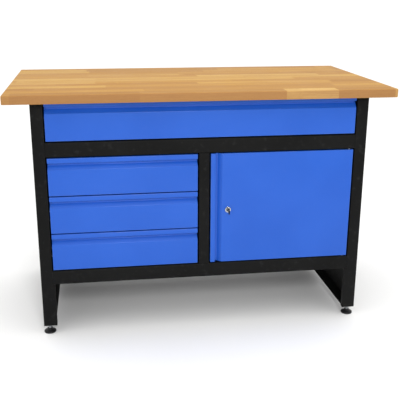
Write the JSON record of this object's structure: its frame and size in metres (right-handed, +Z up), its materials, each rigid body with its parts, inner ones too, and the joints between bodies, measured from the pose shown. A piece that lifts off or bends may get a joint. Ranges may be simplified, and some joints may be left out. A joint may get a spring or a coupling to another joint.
{
  "type": "workbench with drawers",
  "caption": "Workbench with a solid beech top on a folded steel frame, sliding drawers, a cupboard with a cam-lock door and levelling feet.",
  "frame": {"origin": "on the floor, under the middle of the top", "axes": "+X to the right along the width, -Y towards the person at the drawers, +Z up"},
  "size_m": [1.2, 0.65, 0.787],
  "materials": {
    "beech": "oiled, finger-jointed staves",
    "black_powder_coat": "satin powder coat",
    "blue_powder_coat": "semi-gloss powder coat",
    "zinc_steel": "zinc plated",
    "chrome": "polished",
    "black_plastic": "moulded"
  },
  "bodies": {
    "frame": {"bottom_front_rail": "black_powder_coat", "cabinet_floor": "black_powder_coat", "centre_partition": "black_powder_coat", "divider_deck": "black_powder_coat", "foot_nut_front_left": "zinc_steel", "foot_nut_front_right": "zinc_steel", "foot_nut_rear_left": "zinc_steel", "foot_nut_rear_right": "zinc_steel", "hinge_pin_lower": "zinc_steel", "hinge_pin_upper": "zinc_steel", "left_side_panel": "black_powder_coat", "lower_drawer_left_fixed_rail": "zinc_steel", "lower_drawer_right_fixed_rail": "zinc_steel", "middle_drawer_left_fixed_rail": "zinc_steel", "middle_drawer_right_fixed_rail": "zinc_steel", "middle_front_rail": "black_powder_coat", "mullion": "black_powder_coat", "rear_panel": "black_powder_coat", "rear_top_rail": "black_powder_coat", "right_side_panel": "black_powder_coat", "top_screw_front_left": "zinc_steel", "top_screw_front_right": "zinc_steel", "top_screw_rear_left": "zinc_steel", "top_screw_rear_right": "zinc_steel", "upper_drawer_left_fixed_rail": "zinc_steel", "upper_drawer_right_fixed_rail": "zinc_steel", "wide_drawer_left_fixed_rail": "zinc_steel", "wide_drawer_right_fixed_rail": "zinc_steel", "worktop": "beech"},
    "wide_drawer": {"wide_drawer_box": "blue_powder_coat", "wide_drawer_front": "blue_powder_coat", "wide_drawer_left_moving_rail": "zinc_steel", "wide_drawer_right_moving_rail": "zinc_steel"},
    "upper_drawer": {"upper_drawer_box": "blue_powder_coat", "upper_drawer_front": "blue_powder_coat", "upper_drawer_left_moving_rail": "zinc_steel", "upper_drawer_right_moving_rail": "zinc_steel"},
    "middle_drawer": {"middle_drawer_box": "blue_powder_coat", "middle_drawer_front": "blue_powder_coat", "middle_drawer_left_moving_rail": "zinc_steel", "middle_drawer_right_moving_rail": "zinc_steel"},
    "lower_drawer": {"lower_drawer_box": "blue_powder_coat", "lower_drawer_front": "blue_powder_coat", "lower_drawer_left_moving_rail": "zinc_steel", "lower_drawer_right_moving_rail": "zinc_steel"},
    "door": {"door": "blue_powder_coat", "lock_barrel": "chrome", "lock_nut": "zinc_steel"},
    "lock": {"key": "black_plastic", "lock_cam": "zinc_steel", "lock_plug": "chrome"},
    "foot_front_left": {"foot_pad_front_left": "black_plastic", "foot_stud_front_left": "zinc_steel"},
    "foot_front_right": {"foot_pad_front_right": "black_plastic", "foot_stud_front_right": "zinc_steel"},
    "foot_rear_left": {"foot_pad_rear_left": "black_plastic", "foot_stud_rear_left": "zinc_steel"},
    "foot_rear_right": {"foot_pad_rear_right": "black_plastic", "foot_stud_rear_right": "zinc_steel"}
  },
  "joints": [
    {"name": "wide_drawer_slide", "type": "slide", "parent": "frame", "child": "wide_drawer", "axis": [0, -1, 0], "range_m": [0, 0.34]},
    {"name": "upper_drawer_slide", "type": "slide", "parent": "frame", "child": "upper_drawer", "axis": [0, -1, 0], "range_m": [0, 0.34]},
    {"name": "middle_drawer_slide", "type": "slide", "parent": "frame", "child": "middle_drawer", "axis": [0, -1, 0], "range_m": [0, 0.34]},
    {"name": "lower_drawer_slide", "type": "slide", "parent": "frame", "child": "lower_drawer", "axis": [0, -1, 0], "range_m": [0, 0.34]},
    {"name": "door_hinge", "type": "hinge", "parent": "frame", "child": "door", "pos_m": [0.472, -0.2725, 0.4058], "axis": [0, 0, 1], "range_deg": [0, 110]},
    {"name": "lock_turn", "type": "hinge", "parent": "door", "child": "lock", "pos_m": [0.076, -0.28, 0.4027], "axis": [0, 1, 0], "range_deg": [0, 90]},
    {"name": "foot_turn_front_left", "type": "hinge", "parent": "frame", "child": "foot_front_left", "pos_m": [-0.5075, -0.258, 0], "axis": [0, 0, 1], "continuous": true},
    {"name": "foot_turn_front_right", "type": "hinge", "parent": "frame", "child": "foot_front_right", "pos_m": [0.5075, -0.258, 0], "axis": [0, 0, 1], "continuous": true},
    {"name": "foot_turn_rear_left", "type": "hinge", "parent": "frame", "child": "foot_rear_left", "pos_m": [-0.5075, 0.273, 0], "axis": [0, 0, 1], "continuous": true},
    {"name": "foot_turn_rear_right", "type": "hinge", "parent": "frame", "child": "foot_rear_right", "pos_m": [0.5075, 0.273, 0], "axis": [0, 0, 1], "continuous": true}
  ]
}
